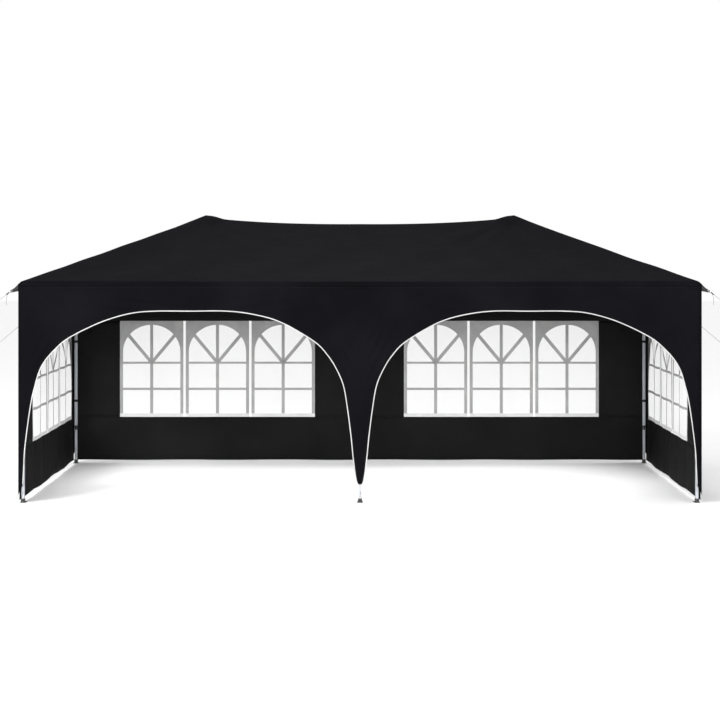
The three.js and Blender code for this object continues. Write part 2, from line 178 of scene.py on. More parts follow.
class Finish:
    """A material: its shader's plain values are set on the shader, the rest is linked."""

    def __init__(self, name, **plain):
        self.material = bpy.data.materials.new(name)
        self.material.use_nodes = True
        self.tree = self.material.node_tree
        self.shader = self.tree.nodes["Principled BSDF"]
        for socket, value in plain.items():
            self.shader.inputs[socket.replace("_", " ")].default_value = value

    def node(self, kind, settings=None, inputs=None, output=0):
        """Makes any node: its settings first, then the values or links of its sockets."""
        made = self.tree.nodes.new(kind)
        for key, value in (settings or {}).items():
            setattr(made, key, value)
        for key, value in (inputs or {}).items():
            if isinstance(value, Value):
                self.tree.links.new(value.socket, made.inputs[key])
            else:
                made.inputs[key].default_value = value
        return Value(self, made.outputs[output])

    def feed(self, socket, value):
        self.tree.links.new(value.socket, self.shader.inputs[socket])

    def place(self):
        """The point's own place on the object, in metres."""
        return self.node("ShaderNodeTexCoord", output="Object")

    def along(self):
        """The surface's own two lengths, in metres, from its UV map."""
        return self.node("ShaderNodeTexCoord", output="UV")

    def parts(self, vector):
        split = self.node("ShaderNodeSeparateXYZ", inputs={"Vector": vector}).socket.node
        return [Value(self, split.outputs[axis]) for axis in "XYZ"]

    def noise(self, vector, scale, detail=4.0, roughness=0.55):
        inputs = {"Vector": vector, "Scale": scale, "Detail": detail, "Roughness": roughness}
        return self.node("ShaderNodeTexNoise", inputs=inputs)

    def stretch(self, vector, scale):
        """The same vector with each axis scaled, which draws a pattern out along one of them."""
        return self.node("ShaderNodeMapping", inputs={"Vector": vector, "Scale": scale})

    def mix(self, factor, first, second):
        settings = {"data_type": "RGBA"}
        return self.node("ShaderNodeMix", settings, {0: factor, 6: first, 7: second}, output=2)

    def bump(self, height, distance, strength=1.0, under=None):
        inputs = {"Height": height, "Distance": distance, "Strength": strength}
        if under:
            inputs["Normal"] = under
        return self.node("ShaderNodeBump", inputs=inputs)


def grey(level):
    return (level, level, level, 1)


def woven(finish, pitch):
    """Plain weave on the UV map: threads that pass over and under each other, 0 to 1."""
    across, down, _ = finish.parts(finish.along())
    turn = np.pi / pitch
    first = abs((across * turn).sine())
    second = abs((down * turn).sine())
    over = ((across * turn * 0.5).sine() * (down * turn * 0.5).sine()) > 0
    return first * over + second * (1 - over)


def cloth_finish(name, dark, light, roughness):
    """Coated polyester cloth: weave, soft storage creases, dust, and a faint sheen."""
    finish = Finish(name, Specular_IOR_Level=0.012, Roughness=0.7)
    place = finish.place()
    weave = woven(finish, 0.0014)
    patches = finish.noise(place, 1.3, 3.0).rise(0.3, 0.72)
    dust = finish.noise(place, 38.0, 5.0, 0.7).rise(0.58, 0.8)
    across, down, _ = finish.parts(finish.along())
    crease = (1 - abs((across * (np.pi / 0.49)).sine())).rise(0.975, 1.0)
    crease = crease.larger((1 - abs((down * (np.pi / 0.37)).sine())).rise(0.98, 1.0))
    crease = crease * finish.noise(place, 2.3, 2.0).rise(0.45, 0.65)
    tone = patches * 0.6 + weave * 0.25 + dust * 0.12
    finish.feed("Base Color", finish.mix(tone.smaller(1.0), dark, light))
    finish.feed("Roughness", roughness + patches * 0.07 - weave * 0.05 + dust * 0.06)
    soft = finish.bump(finish.noise(place, 5.0, 3.0, 0.45), 0.010, 0.55)
    folded = finish.bump(crease, 0.0005, 0.5, under=soft)
    finish.feed("Normal", finish.bump(weave, 0.0003, 0.5, under=folded))
    return finish.material


def film_finish(name, tint, milk):
    """Clear PVC film with a milky cast, faint ripples and handling marks."""
    finish = Finish(name, Specular_IOR_Level=0.35, Roughness=0.2, IOR=1.45)
    place = finish.place()
    cloud = finish.noise(place, 2.0, 3.0).rise(0.3, 0.75)
    marks = finish.noise(finish.stretch(place, (40.0, 40.0, 5.0)), 1.6, 4.0).rise(0.6, 0.8)
    finish.feed("Base Color", finish.mix(cloud, grey(tint - 0.05), grey(tint + 0.05)))
    finish.feed("Roughness", 0.2 + cloud * 0.08 + marks * 0.15)
    finish.feed("Alpha", milk + cloud * 0.015 + marks * 0.015)
    finish.feed("Normal", finish.bump(finish.noise(place, 7.0, 2.0), 0.006, 0.2))
    return finish.material


def tape_finish(name, dark, light, pitch=0.0018, roughness=0.62):
    """Woven tape: ribs across its length, lint, and slightly grubby low spots."""
    finish = Finish(name, Sheen_Weight=0.05, Specular_IOR_Level=0.25, Roughness=0.6)
    place = finish.place()
    weave = woven(finish, pitch)
    grime = finish.noise(place, 6.0, 4.0, 0.6).rise(0.35, 0.75)
    finish.feed("Base Color", finish.mix(grime * 0.7 + weave * 0.3, dark, light))
    finish.feed("Roughness", roughness + weave * 0.1)
    finish.feed("Normal", finish.bump(weave, 0.0005, 0.7))
    return finish.material


def rope_finish():
    """Laid cord: its strands wind round it, which the UV map follows."""
    finish = Finish("laid_cord", Sheen_Weight=0.05, Specular_IOR_Level=0.25, Roughness=0.65)
    round_it, along, _ = finish.parts(finish.along())
    strand = abs(((along * 390.0) + (round_it * 500.0)).sine())
    fluff = finish.noise(finish.place(), 400.0, 2.0)
    finish.feed("Base Color", finish.mix(strand * 0.8 + fluff * 0.2, grey(0.10), grey(0.27)))
    finish.feed("Roughness", 0.75 - strand * 0.15)
    finish.feed("Normal", finish.bump(strand, 0.0006, 0.8))
    return finish.material


def plastic_tones(finish, place):
    """Black moulded plastic: its colour, its roughness and the height of its grain."""
    grain = finish.noise(place, 900.0, 2.0)
    scuff = finish.noise(finish.stretch(place, (60.0, 60.0, 14.0)), 2.0, 5.0, 0.7).rise(0.6, 0.78)
    colour = finish.mix(scuff * 0.8, grey(0.011), grey(0.05))
    return colour, 0.42 + grain * 0.12 + scuff * 0.2, grain


def plastic_finish():
    finish = Finish("moulded_plastic", Specular_IOR_Level=0.45, Roughness=0.45)
    colour, roughness, grain = plastic_tones(finish, finish.place())
    finish.feed("Base Color", colour)
    finish.feed("Roughness", roughness)
    finish.feed("Normal", finish.bump(grain, 0.0002, 0.6))
    return finish.material


def coated_tones(finish, place):
    """Silver powder coat: orange peel, flake, drawn scratches and rubbed patches."""
    peel = finish.noise(place, 260.0, 3.0)
    flake = finish.noise(place, 1400.0, 1.0)
    rub = finish.noise(finish.stretch(place, (30.0, 30.0, 2.2)), 2.2, 5.0, 0.65).rise(0.5, 0.75)
    drawn = finish.noise(finish.stretch(place, (700.0, 700.0, 6.0)), 1.0, 2.0).rise(0.62, 0.8)
    colour = finish.mix(flake * 0.35 + rub * 0.55, (0.36, 0.38, 0.41, 1), (0.60, 0.62, 0.65, 1))
    return colour, 0.36 + peel * 0.1 - rub * 0.08 + drawn * 0.12, peel + drawn * 0.6


def leg_finish(name, plastic_low, plastic_high, dirty):
    """Coated tube whose ends are moulded plastic: below one height and above another. dirty is
    the share of the scraped dirt near the ground."""
    finish = Finish(name, Specular_IOR_Level=0.5, Roughness=0.4)
    place = finish.place()
    height = finish.parts(place)[2]
    metal, metal_rough, metal_height = coated_tones(finish, place)
    black, black_rough, black_height = plastic_tones(finish, place)
    ends = (height < plastic_low).larger(height > plastic_high)
    scrape = finish.noise(finish.stretch(place, (40.0, 40.0, 9.0)), 3.0, 4.0).rise(0.52, 0.62)
    dirt = (1 - height.rise(0.0, 0.22)) * scrape
    worn = finish.mix(dirt * dirty, metal, (0.16, 0.15, 0.135, 1))
    finish.feed("Base Color", finish.mix(ends, worn, black))
    finish.feed("Metallic", (1 - ends) * 0.55)
    finish.feed("Roughness", metal_rough * (1 - ends) + black_rough * ends + dirt * 0.2)
    finish.feed("Normal", finish.bump(metal_height * (1 - ends) + black_height * ends, 0.0003, 0.5))
    return finish.material


def metal_finish(name, dark, light, metallic, roughness):
    """Plated or coated metal with brushed marks and wear."""
    finish = Finish(name, Specular_IOR_Level=0.5, Roughness=roughness)
    place = finish.place()
    rub = finish.noise(place, 45.0, 5.0, 0.7).rise(0.42, 0.7)
    peel = finish.noise(place, 420.0, 3.0)
    finish.feed("Base Color", finish.mix(rub, dark, light))
    finish.feed("Metallic", metallic - rub * 0.1)
    finish.feed("Roughness", roughness + peel * 0.12 - rub * 0.07)
    finish.feed("Normal", finish.bump(peel, 0.0003, 0.4))
    return finish.material


CANOPY_CLOTH = cloth_finish(
    "canopy_cloth", (.0025, .0025, .0034, 1), (.0058, .0058, .0076, 1), 0.56
)
# Wall cloth: set two to three times as light as the canopy's cloth. This is painted light, standing
# in for light on the shaded inside of the tent.
WALL_CLOTH_PAINTED_LIGHT = cloth_finish("wall_cloth", grey(.0072), grey(.0130), 0.62)
FILM = film_finish("window_film", .74, .20)
CLEAR_STRIP = film_finish("window_strip_film", .95, .05)
# Window frames and bars: white strips, painted mid grey. The grey is painted shade for the shade
# they lie in.
WINDOW_TAPE_PAINTED_SHADE = tape_finish("window_frame_cloth", grey(.31), grey(.40))
PALE_TAPE = tape_finish("window_sill_tape", grey(.60), grey(.74))
PIPING_TAPE = tape_finish("bound_edge", grey(.44), grey(.60), 0.0012)
BLACK_TAPE = tape_finish("black_webbing", grey(.008), grey(.022), 0.0022, 0.55)
BLACK_THREAD = tape_finish("black_thread", grey(.012), grey(.028), 0.0009)
CORD = rope_finish()
PLASTIC = plastic_finish()
TRUSS_STEEL = metal_finish("truss_steel", (.30, .31, .33, 1), (.47, .48, .50, 1), .6, .38)
ZINC = metal_finish("zinc_plated", (.42, .43, .44, 1), (.66, .66, .65, 1), .95, .28)


# ---- surfaces -------------------------------------------------------------------------
def steps_of(grid, axis):
    """The length run along one axis of a grid of points, taken down its middle line."""
    middle = grid[:, grid.shape[1] // 2] if axis == 0 else grid[grid.shape[0] // 2]
    return np.concatenate(([0], np.cumsum(np.linalg.norm(np.diff(middle, axis=0), axis=1))))


def surfaces(name, grids, material, facing=None, thick=0, weld=2e-6):
    """One mesh from grids of points (rows, columns, 3). Every cell is a quad, every corner has its
    UV in metres, run along the rows and columns, and points that meet are merged. A mesh with no
    facing is closed."""
    points, faces, uvs, base = [], [], [], 0
    for grid in grids:
        rows, columns = grid.shape[:2]
        index = base + np.arange(rows * columns).reshape(rows, columns)
        quads = np.stack((index[:-1, :-1], index[:-1, 1:], index[1:, 1:], index[1:, :-1]), -1)
        quads = quads.reshape(-1, 4)
        down, across = np.meshgrid(steps_of(grid, 0), steps_of(grid, 1), indexing="ij")
        if facing is not None:
            a, b, c, d = (grid.reshape(-1, 3)[quads[:, k] - base] for k in range(4))
            if (np.cross(c - a, d - b).sum(0) * np.array(facing)).sum() < 0:
                quads = quads[:, ::-1]
        points.append(grid.reshape(-1, 3))
        faces.append(quads)
        uvs.append(np.stack((across.ravel(), down.ravel()), -1))
        base += rows * columns
    points, faces, uvs = np.concatenate(points), np.concatenate(faces), np.concatenate(uvs)
    mesh = bpy.data.meshes.new(name)
    mesh.from_pydata(points.tolist(), [], faces.tolist())
    layer = mesh.uv_layers.new(name="UVMap")
    layer.data.foreach_set("uv", uvs[faces.ravel()].astype(np.float32).ravel())
    edit = bmesh.new()
    edit.from_mesh(mesh)
    bmesh.ops.remove_doubles(edit, verts=edit.verts, dist=weld)
    bmesh.ops.dissolve_degenerate(edit, edges=edit.edges, dist=weld / 10)
    if facing is None:
        bmesh.ops.recalc_face_normals(edit, faces=edit.faces)
    edit.to_mesh(mesh)
    edit.free()
    mesh.polygons.foreach_set("use_smooth", np.ones(len(mesh.polygons), bool))
    mesh.materials.append(material)
    piece = bpy.data.objects.new(name, mesh)
    bpy.context.scene.collection.objects.link(piece)
    if thick:
        shell = piece.modifiers.new("thickness", "SOLIDIFY")
        shell.thickness = thick
        shell.offset = -1
    return piece


def unit(vectors):
    return vectors / np.maximum(np.linalg.norm(vectors, axis=-1, keepdims=True), 1e-12)


def smoothstep(value, low, high):
    t = np.clip((value - low) / (high - low), 0, 1)
    return t * t * (3 - 2 * t)


def spline(points, per_span=8):
    """A Catmull-Rom curve through the points: on each span a cubic whose slope at a point is half
    the step between its two neighbours."""
    p = np.asarray(points, float)
    p = np.concatenate((2 * p[:1] - p[1:2], p, 2 * p[-1:] - p[-2:-1]))
    t = np.linspace(0, 1, per_span, endpoint=False)[None, :, None]
    a, b, c, d = (p[k : len(p) - 3 + k, None] for k in range(4))
    curve = b + 0.5 * t * (c - a + t * (2 * a - 5 * b + 4 * c - d + t * (3 * (b - c) + d - a)))
    return np.concatenate((curve.reshape(-1, p.shape[1]), p[-2:-1]))


def swept(path, wide, high=None, sides=8, outward=(0, 0, 1), capped=True):
    """An oval profile carried along a path: wide across it and high away from the surface. The
    profile's first axis is square to the path and to the outward direction."""
    high = wide if high is None else high
    path = np.asarray(path, float)
    along = unit(np.gradient(path, axis=0))
    out = np.array(outward, float)
    side = unit(np.cross(along, out))
    out = unit(np.cross(side, along))
    turn = np.linspace(0, 2 * np.pi, sides + 1)
    size = np.ones(len(path))
    if capped:
        path = np.concatenate((path[:1], path, path[-1:]))
        side = np.concatenate((side[:1], side, side[-1:]))
        out = np.concatenate((out[:1], out, out[-1:]))
        size = np.concatenate(([0], size, [0]))
    size = size[:, None, None]
    oval = wide * np.cos(turn)[None, :, None] * side[:, None] * size
    return path[:, None] + oval + high * np.sin(turn)[None, :, None] * out[:, None] * size


def turned(profile, centre, axis, sides=16):
    """A profile of (radius, height) turned round an axis through the centre."""
    axis = unit(np.asarray(axis, float))
    first = unit(np.cross(axis, (0.31, 0.87, 0.38)))
    second = np.cross(axis, first)
    turn = np.linspace(0, 2 * np.pi, sides + 1)[None, :, None]
    profile = np.asarray(profile, float)
    radius = profile[:, 0][:, None, None]
    height = profile[:, 1][:, None, None]
    ring = radius * (np.cos(turn) * first + np.sin(turn) * second)
    return np.asarray(centre, float) + ring + height * axis


def stitches(path, outward, pitch=0.011, length=0.0075, radius=0.0007, lift=0.0005):
    """Thread along a path: spindles of four sides, each one stitch long, evenly spaced."""
    path = np.asarray(path, float)
    run = np.concatenate(([0], np.cumsum(np.linalg.norm(np.diff(path, axis=0), axis=1))))
    starts = np.arange(pitch / 2, run[-1] - length, pitch)
    ends = [
        np.stack([np.interp(at, run, path[:, k]) for k in range(3)], -1)
        for at in (starts, starts + length)
    ]
    along = unit(ends[1] - ends[0])
    out = np.array(outward, float)
    side = unit(np.cross(along, out))
    middle = (ends[0] + ends[1]) / 2 + out * lift
    rings = []
    for first, second in ((side, out), (out, -side), (-side, -out), (-out, side), (side, out)):
        rings.append(middle + radius * first)
    rings = np.stack(rings, 1)
    tips = [np.repeat(e[:, None], 5, axis=1) for e in ends]
    return np.stack((tips[0], rings, tips[1]), 1)


def dress(piece, body):
    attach(piece, body)


def fitting(name, grids, material, body):
    """A closed piece that rides a body."""
    dress(surfaces(name, grids, material), body)


# ---- guy ropes ------------------------------------------------------------------------
CORNERS = {
    "front_left": (1, 1), "front_right": (-1, 1), "back_left": (1, -1), "back_right": (-1, -1),
}


def length_of(path):
    return float(np.linalg.norm(np.diff(path, axis=0), axis=1).sum())


def knot(centre, along, size):
    """A trefoil knot of the same cord, its three turns about the rope's own line."""
    turn = np.linspace(0, 2 * np.pi, 49)
    flat = np.stack((np.sin(turn) + 2 * np.sin(2 * turn), np.cos(turn) - 2 * np.cos(2 * turn)), -1)
    along = unit(np.asarray(along, float))
    first = unit(np.cross(along, (0, 0, 1)))
    second = np.cross(along, first)
    line = centre + size * (
        flat[:, :1] * first + flat[:, 1:] * second - np.sin(3 * turn)[:, None] * along
    )
    return swept(line, ROPE / 2, outward=along, capped=False)


for corner, (mirror_x, mirror_y) in CORNERS.items():
    body = f"outer_leg_{corner}"
    flip = np.array((mirror_x, 1, 1))
    route = spline((ROPE_FRONT if mirror_y > 0 else ROPE_BACK) * flip, ROPE_SPAN)
    heading = unit(route[-1] - route[-2])
    rope = surfaces(f"guy_rope_line_{corner}", [swept(route, ROPE / 2, sides=10)], CORD)
    tied = knot(route[-1] - heading * ROPE / 2, heading, KNOT)
    tied = surfaces(f"guy_knot_{corner}", [tied], CORD)
    drop = np.linspace(0, 1, 14)[:, None]
    sway = np.array((-.012 * mirror_x, -.004 * mirror_y, 0)) * np.sin(drop * 2.2)
    tail = route[RUNNER_AT] + sway + drop * np.array((0, 0, -TAIL_DROP))
    tail = swept(tail, ROPE / 2, outward=(1, 0, 0))
    tail = surfaces(f"guy_tail_{corner}", [tail], CORD)
    for piece in (rope, tied, tail):
        dress(piece, body)
    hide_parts(f"guy_rope_{corner}")


# ---- canopy ---------------------------------------------------------------------------
def roof_height(x, y):
    """Height of the roof over (x, y). down is 0 on the ridge and 1 at the eave, so the slopes meet
    at the hips. On it lie a drop away from each cap, a hollow between ridge and eave, folds that
    spread from the peaks, and the rounded turn at the eave."""
    past = np.clip((abs(x) - HALF) / (COVER_X - HALF), 0, 1)
    down = np.clip(np.maximum(past, abs(y) / COVER_Y), 0, 1)
    along = np.clip(abs(x) / HALF, 0, 1)
    ridge = PEAK - RIDGE_SAG * (1 - along**2)
    z = EAVE + (ridge - EAVE) * (1 - down) * (1 - HIP_SAG * down)
    ahead = abs(x) - HALF
    reach = np.hypot(ahead, y)
    sink = smoothstep(reach, 0.055, CAP_REACH) * np.exp(-((reach / 1.1) ** 2))
    z = z - CAP_SINK * sink * (1 - 0.9 * smoothstep(ahead, -0.1, 0.12))
    inner = np.minimum(past, abs(y) / COVER_Y) / np.maximum(down, 1e-6)
    slope = np.sin(np.pi * down) * (1 - inner**2)
    z = z - 0.012 * slope
    turn = np.arctan2(y, ahead)
    near = np.exp(-(((reach - 0.45) / 0.35) ** 2))
    z = z + 0.0035 * near * np.sin(11 * turn + 1.2 * np.sin(3 * turn)) * smoothstep(down, 0.02, 0.2)
    ripple = np.sin(7.1 * x + 2.3 * np.sin(3.1 * y)) + 0.6 * np.sin(15.0 * x + 5.2 * y)
    z = z + 0.0028 * ripple * smoothstep(1 - down, 0, 0.25) * smoothstep(down, 0, 0.3)
    edge = np.clip(EAVE_ROUND - (1 - down) * COVER_Y, 0, EAVE_ROUND)
    return z - (EAVE_ROUND - np.sqrt(EAVE_ROUND**2 - edge**2))


def downs(steps=34):
    """Shares from ridge to eave, close together where the eave turns."""
    turn = np.linspace(0, np.pi / 2, 7)[1:]
    last = 1 - EAVE_ROUND / COVER_Y
    return np.concatenate((np.linspace(0, last, steps), 1 - (1 - last) * (1 - np.sin(turn))))


def long_slope(start, stop, side):
    """A gore of a front or back slope between two places along it, cut off by the hip."""
    x = np.linspace(start, stop, 25)[None, :]
    past = np.clip((abs(x) - HALF) / (COVER_X - HALF), 0, 1)
    down = past + (1 - past) * downs()[:, None]
    x = np.broadcast_to(x, down.shape)
    y = side * COVER_Y * down
    return np.stack((x, y, roof_height(x, y)), -1)


def end_slope(start, stop, side):
    """A gore of an end slope: a triangle from the peak to a stretch of the eave."""
    down = downs()[:, None]
    share = np.linspace(start, stop, 25)[None, :] / COVER_Y
    x = np.broadcast_to(side * (HALF + (COVER_X - HALF) * down), (len(down), 25))
    y = COVER_Y * down * share
    return np.stack((x, y, roof_height(x, y)), -1)


QUARTERS = (0, HALF / 2, HALF, 1.5 * HALF, COVER_X)


def bay(side, hand, letters):
    """The four gores over a truss of a long side, each with the bar that carries it."""
    sign, facing = (-1 if hand == "left" else 1), (-1 if side == "front" else 1)
    for k, letter in enumerate(letters):
        start, stop = sorted((sign * QUARTERS[k], sign * QUARTERS[k + 1]))
        body = f"truss_{side}_{hand}_{letter}"
        yield f"{side}_{hand}_{k + 1}", long_slope(start, stop, facing), body, side


ENDS = (-COVER_Y, -HALF / 2, 0, HALF / 2, COVER_Y)
ROOF = [
    *bay("front", "left", "abcd"), *bay("front", "right", "abcd"),
    *bay("back", "left", "dcba"), *bay("back", "right", "dcba"),
]
for hand, sign in (("left", -1), ("right", 1)):
    for k, letter in enumerate("abcd"):
        gore = end_slope(ENDS[k], ENDS[k + 1], sign)
        ROOF.append((f"{hand}_{k + 1}", gore, f"truss_{hand}_{letter}", hand))
FACES = {"front": (0, -1, 0), "back": (0, 1, 0), "left": (-1, 0, 0), "right": (1, 0, 0)}


for name, grid, body, side in ROOF:
    gore = surfaces(f"roof_{name}", [grid], CANOPY_CLOTH, facing=(0, 0, 1), thick=CLOTH)
    even = gore.modifiers.new("even_shading", "WEIGHTED_NORMAL")
    even.weight = 100
    dress(gore, body)
    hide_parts("canopy")
    wide = length_of(grid[-1])
    out = np.array(FACES[side], float)
    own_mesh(gore)


# ---- skirts ---------------------------------------------------------------------------
def lower_edge(legs, half):
    """The lower edge of a skirt as (place along it, height): an arch in each bay."""
    corner, middle = spline(EDGE_CORNER), spline(EDGE_MIDDLE)
    edge = [np.array([(-half, CORNER_POINT)])]
    for k, (left, right) in enumerate(zip(legs[:-1], legs[1:])):
        first = corner if k == 0 else middle
        last = corner if k == len(legs) - 2 else middle
        edge.append(np.array((left, 0)) + first)
        edge.append(np.array((right, 0)) + (last * (-1, 1))[::-1])
    edge.append(np.array([(half, CORNER_POINT)]))
    edge = np.concatenate(edge)
    return edge[np.concatenate(([True], np.linalg.norm(np.diff(edge, axis=0), axis=1) > 1e-6))]


def skirt_wave(along, z, legs, half):
    """How far a skirt stands out: long soft waves along its free edge, and folds that run from each
    leg's top down towards the arches. It is still along its top, at its corners and at its legs."""
    free = smoothstep(SKIRT_TOP - z, 0, 0.22) * smoothstep(half - abs(along), 0, 0.25)
    wave = 0.0035 * np.sin(5.3 * along + 0.8) + 0.0022 * np.sin(12.7 * along + 2.1 * z)
    for k, leg in enumerate(legs):
        away = abs(along - leg)
        high = np.exp(-(((z - 1.45) / 0.22) ** 2)) * np.exp(-((away / 0.55) ** 2))
        wave = wave + 0.0062 * high * np.sin(21 * z + (9 + 2 * k) * away + 1.7 * k)
        wave = wave * smoothstep(away, 0.0, 0.16)
        wave = wave + 0.0018 * np.exp(-((away / .1) ** 2)) * np.sin(9 * z)
    for leg in legs:
        away = abs(along - leg)
        line = z + 0.17 * away
        over = np.exp(-(((away - 0.95) / 0.38) ** 2)) * smoothstep(SKIRT_TOP - z, 0.01, 0.06)
        swell = 0.6 + 0.4 * np.sin(2.9 * away + 5.0 * leg)
        turn = 2 * np.pi * line / 0.092 + 2.2 * np.sin(1.7 * along)
        wave = wave + 0.0060 * swell * over * np.sin(turn)
        fan = z - 1.9 * away
        low = np.exp(-(((z - 1.25) / 0.25) ** 2)) * smoothstep(away, 0.02, 0.12)
        low = low * np.exp(-((away / 0.3) ** 2))
        wave = wave + 0.0052 * low * np.sin(2 * np.pi * fan / 0.16)
    return np.clip(free * wave, -0.012, 0.013)


def skirt_point(side, along, out, z):
    """A point of a skirt: its place along the side, how far it stands out, and its height."""
    sign = -1 if side in ("front", "left") else 1
    if side in ("front", "back"):
        return np.stack((along, sign * (COVER_Y + out), z), -1)
    return np.stack((sign * (COVER_X + out), along, z), -1)


def skirt(side, legs, half):
    """A skirt's cloth and its edge: upright lines from the eave down to the arches."""
    edge = lower_edge(legs, half)
    share = np.linspace(0, 1, 31)[:, None]
    z = SKIRT_TOP + (edge[:, 1][None, :] - SKIRT_TOP) * share
    along = np.broadcast_to(edge[:, 0][None, :], z.shape)
    out = skirt_wave(along, z, legs, half)
    return skirt_point(side, along, out, z)


LONG_LEGS = np.array((-BAY, 0, BAY))
SHORT_LEGS = np.array((-HALF, HALF))
# For each side the leg that its cloth rides, the axis and the point that it gathers along and
# towards, and the share of its length that a folded skirt and a folded wall keep.
GATHERS = {
    "front": ("outer_leg_front_mid", (1, 0, 0), (0, 0, 0), KEEP_LONG, KEEP_WALL_LONG),
    "back": ("outer_leg_back_mid", (1, 0, 0), (0, 0, 0), KEEP_LONG, KEEP_WALL_LONG),
    "left": ("outer_leg_front_left", (0, 1, 0), (0, -COVER_Y, 0), KEEP_SHORT, KEEP_WALL_SHORT),
    "right": ("outer_leg_front_right", (0, 1, 0), (0, -COVER_Y, 0), KEEP_SHORT, KEEP_WALL_SHORT),
}
SKIRTS = {
    "front": (LONG_LEGS, COVER_X), "back": (LONG_LEGS, COVER_X),
    "left": (SHORT_LEGS, COVER_Y), "right": (SHORT_LEGS, COVER_Y),
}
FOOT_OF_SKIRT = 0.15
SEAM_IN = 0.013  # from a skirt's edge to its row of stitches


def gather(piece, side, wall=False):
    """The piece rides its leg."""
    body, axis, anchor, keep, keep_wall = GATHERS[side]
    dress(piece, body)
    if wall and side in ("left", "right"):
        anchor = (0, -WALL_END_SIDE, 0)
    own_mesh(piece)


for side, (legs, half) in SKIRTS.items():
    grid = skirt(side, legs, half)
    cloth = surfaces(f"skirt_{side}", [grid], CANOPY_CLOTH, facing=FACES[side], thick=CLOTH)
    out = np.array(FACES[side], float)
    edge = grid[-1][1:-1]
    binding = swept(edge - out * CLOTH / 2, PIPING, 0.0032, sides=10, outward=out)
    binding = surfaces(f"skirt_binding_{side}", [binding], PIPING_TAPE)
    step = np.gradient(edge, axis=0)
    inward = unit(np.cross(out, step))
    inward = inward * np.sign((inward * (0, 0, 1)).sum(-1, keepdims=True) + 1e-9)
    eave = np.linspace(-half + .01, half - .01, 120)
    level = np.ones(120)
    eave_seam = skirt_point(side, eave, level * 0, level * (SKIRT_TOP - 0.012))
    sewn = [*stitches(edge + inward * SEAM_IN, out), *stitches(eave_seam, out)]
    welt = skirt_point(side, eave, level * 0.0004, level * (SKIRT_TOP + 0.001))
    welt = swept(welt, 0.0026, 0.0020, outward=out)
    welt = surfaces(f"eave_welt_{side}", [welt], CANOPY_CLOTH)
    thread = surfaces(f"skirt_thread_{side}", sewn, BLACK_THREAD)
    drop = SKIRT_TOP - FOOT_OF_SKIRT
    gore = f"roof_{side}_1" if len(legs) == 2 else f"roof_{side}_left_1"
    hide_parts("canopy")
    for piece in (cloth, binding, thread, welt):
        gather(piece, side)


# ---- corner tabs ----------------------------------------------------------------------
def ribbon(path, wide, thick, across):
    """Flat webbing along a path: a rounded oblong profile, wide along the direction across. wide
    may differ from point to point."""
    wide = np.broadcast_to(np.asarray(wide, float), len(path))[:, None, None]
    path = np.asarray(path, float)
    across = unit(np.asarray(across, float))
    along = unit(np.gradient(path, axis=0))
    flat = unit(np.cross(along, across))
    wide_at = np.array((-.5, -.47, .47, .5, .5, .47, -.47, -.5, -.5))
    thick_at = np.array((-.3, -.5, -.5, -.3, .3, .5, .5, .3, -.3))
    profile = wide * wide_at[None, :, None] * across
    profile = profile + thick * thick_at[None, :, None] * flat[:, None]
    ends = [np.repeat(point[:, None], 9, 1) for point in (path[:1], path[-1:])]
    return np.concatenate((ends[0], path[:, None] + profile, ends[1]))


RUNNER_PROFILE = [
    (0, -.016), (.0045, -.0155), (.0052, -.012), (.0046, 0), (.0052, .012), (.0045, .0155),
    (0, .016),
]

for corner, (mirror_x, mirror_y) in CORNERS.items():
    flip = np.array((mirror_x, mirror_y, 1))
    body = f"outer_leg_{corner}"
    start, end = TAB_FROM * flip, TAB_TO * flip
    t = np.linspace(0, 1, 9)[:, None]
    line = start + (end - start) * t + np.array((0, 0, -.004)) * np.sin(np.pi * t)
    wide = .025 + .045 * (1 - t[:, 0]) ** 2
    tab = ribbon(line, wide, .002, (0, 0, 1))
    along = unit(end - start)
    turn = np.linspace(0, 2 * np.pi, 25)[:, None]
    loop = .011 * (np.cos(turn) * along + np.sin(turn) * np.array((0, 0, 1)))
    loop = end - along * .004 + loop
    eye = swept(loop, .0018, outward=np.cross(along, (0, 0, 1)), capped=False)
    route = spline((ROPE_FRONT if mirror_y > 0 else ROPE_BACK) * (mirror_x, 1, 1), ROPE_SPAN)
    heading = unit(route[4] - route[2])
    runner = turned(RUNNER_PROFILE, route[RUNNER_AT], heading, 14)
    fitting(f"guy_tab_{corner}", [tab], BLACK_TAPE, body)
    fitting(f"guy_ring_{corner}", [eye], ZINC, body)
    fitting(f"guy_runner_{corner}", [runner], PLASTIC, body)


# ---- walls ----------------------------------------------------------------------------
def wall_wave(along, z, side):
    """How far a wall stands out from its flat plane. The back wall is nearly taut. An end wall
    hangs in upright folds that lean inwards and die out at its legs and its top."""
    if side == "back":
        legs = smoothstep(abs(along), .02, .3) * smoothstep(BAY - abs(along), -.02, .25)
        folds = .0035 * np.sin(4.1 * along + 1.1 * z) + .002 * np.sin(10.3 * along + 4 * z + 1)
        return legs * (folds - .004) * smoothstep(WALL_TOP - z, 0, .3)
    legs = smoothstep(HALF - abs(along), -.015, .3)
    fall = smoothstep(WALL_TOP - z, 0, .55)
    folds = np.sin(13.1 * along + .9 * np.sin(2.2 * z)) + .45 * np.sin(29.0 * along + 1.4 * z + .6)
    calm = .35 + .65 * smoothstep(z, .25, .8)
    return legs * fall * (.0065 * folds * calm - .0125)


def wall_point(side, along, z):
    """A point of a wall. Its hem rises and falls a little between the legs."""
    along, z = np.broadcast_arrays(np.asarray(along, float), np.asarray(z, float))
    lift = 1 - smoothstep(z, WALL_BOTTOM, .45)
    hem = .006 * (1 + np.sin(5.5 * along + .7)) * smoothstep(HALF - abs(along), 0, .3)
    if side == "back":
        hem = .002 * (1 + np.sin(6.1 * along))
    out = wall_wave(along, z, side)
    z = z + lift * hem
    if side == "back":
        return np.stack((along, WALL_PLANE_BACK + out, z), -1)
    sign = -1 if side == "left" else 1
    return np.stack((sign * (WALL_PLANE_END + out), along, z), -1)


